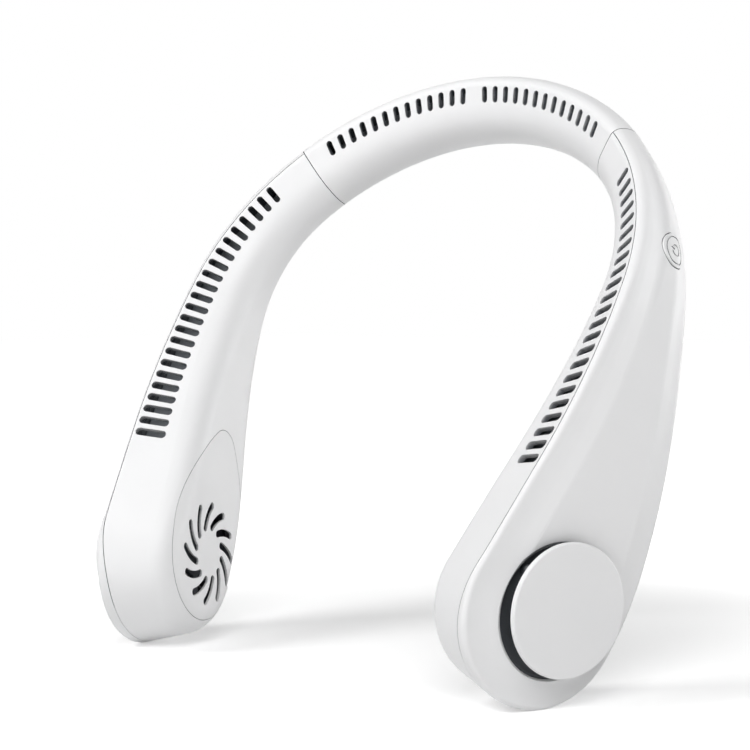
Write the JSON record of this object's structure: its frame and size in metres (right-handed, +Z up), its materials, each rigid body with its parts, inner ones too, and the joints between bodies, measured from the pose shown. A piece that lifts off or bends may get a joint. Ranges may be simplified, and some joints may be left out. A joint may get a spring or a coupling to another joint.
{
  "type": "electric neck fan",
  "caption": "U-shaped white neck fan with slotted band and arms, round blower lobes with swirl grilles and disc covers, and a push button.",
  "frame": {"origin": "middle of the neck band's inner face, where it rests on the back of the neck", "axes": "+Z up as worn, -Y to the front where the two lobes hang, +X to the right arm as seen from the front (the arm with the button); the fan is mirror-symmetric about X = 0 but for the button and the charging socket"},
  "size_m": [0.1976, 0.1184, 0.1909],
  "materials": {
    "shell_white": "fine satin white moulding",
    "trim_white": "satin white moulding",
    "band_white": "soft-touch white moulding",
    "duct_grey": "dark grey moulding",
    "impeller_grey": "grey moulding",
    "steel": "plain steel",
    "magnet": "black bonded magnet",
    "stator": "steel core with copper winding",
    "cell": "blue wrapped cell",
    "board": "green circuit board",
    "switch": "black switch",
    "wire": "black insulated wire bundle"
  },
  "bodies": {
    "frame": {"band_duct_floor": "duct_grey", "charge_board": "board", "charge_socket": "steel", "control_board": "board", "left_battery_cell": "cell", "left_blower_housing": "duct_grey", "left_case_screws": "steel", "left_duct_floor": "duct_grey", "left_grille_insert": "trim_white", "left_inner_shell": "shell_white", "left_intake_cover": "trim_white", "left_joint_sleeve": "duct_grey", "left_motor_bearings": "steel", "left_motor_stator": "stator", "left_outer_shell": "shell_white", "neck_band": "band_white", "right_battery_cell": "cell", "right_blower_housing": "duct_grey", "right_case_screws": "steel", "right_duct_floor": "duct_grey", "right_grille_insert": "trim_white", "right_inner_shell": "shell_white", "right_intake_cover": "trim_white", "right_joint_sleeve": "duct_grey", "right_motor_bearings": "steel", "right_motor_stator": "stator", "right_outer_shell": "shell_white", "tact_switch": "switch", "wire_harness": "wire"},
    "left_fan": {"left_impeller": "impeller_grey", "left_rotor_can": "steel", "left_magnet_ring": "magnet", "left_motor_shaft": "steel"},
    "right_fan": {"right_impeller": "impeller_grey", "right_rotor_can": "steel", "right_magnet_ring": "magnet", "right_motor_shaft": "steel"},
    "button": {"power_button": "trim_white"}
  },
  "joints": [
    {"name": "left_fan_spin", "type": "hinge", "parent": "frame", "child": "left_fan", "pos_m": [-0.06805, -0.07741, -0.13877], "axis": [-0.9528, -0.299, -0.0529], "continuous": true},
    {"name": "right_fan_spin", "type": "hinge", "parent": "frame", "child": "right_fan", "pos_m": [0.06805, -0.07741, -0.13877], "axis": [0.9528, -0.299, -0.0529], "continuous": true},
    {"name": "button_press", "type": "slide", "parent": "frame", "child": "button", "axis": [-0.9701, -0.0015, -0.2427], "range_m": [0, 0.0008], "stiffness_N_per_m": 800, "springref_m": -0.0005}
  ]
}
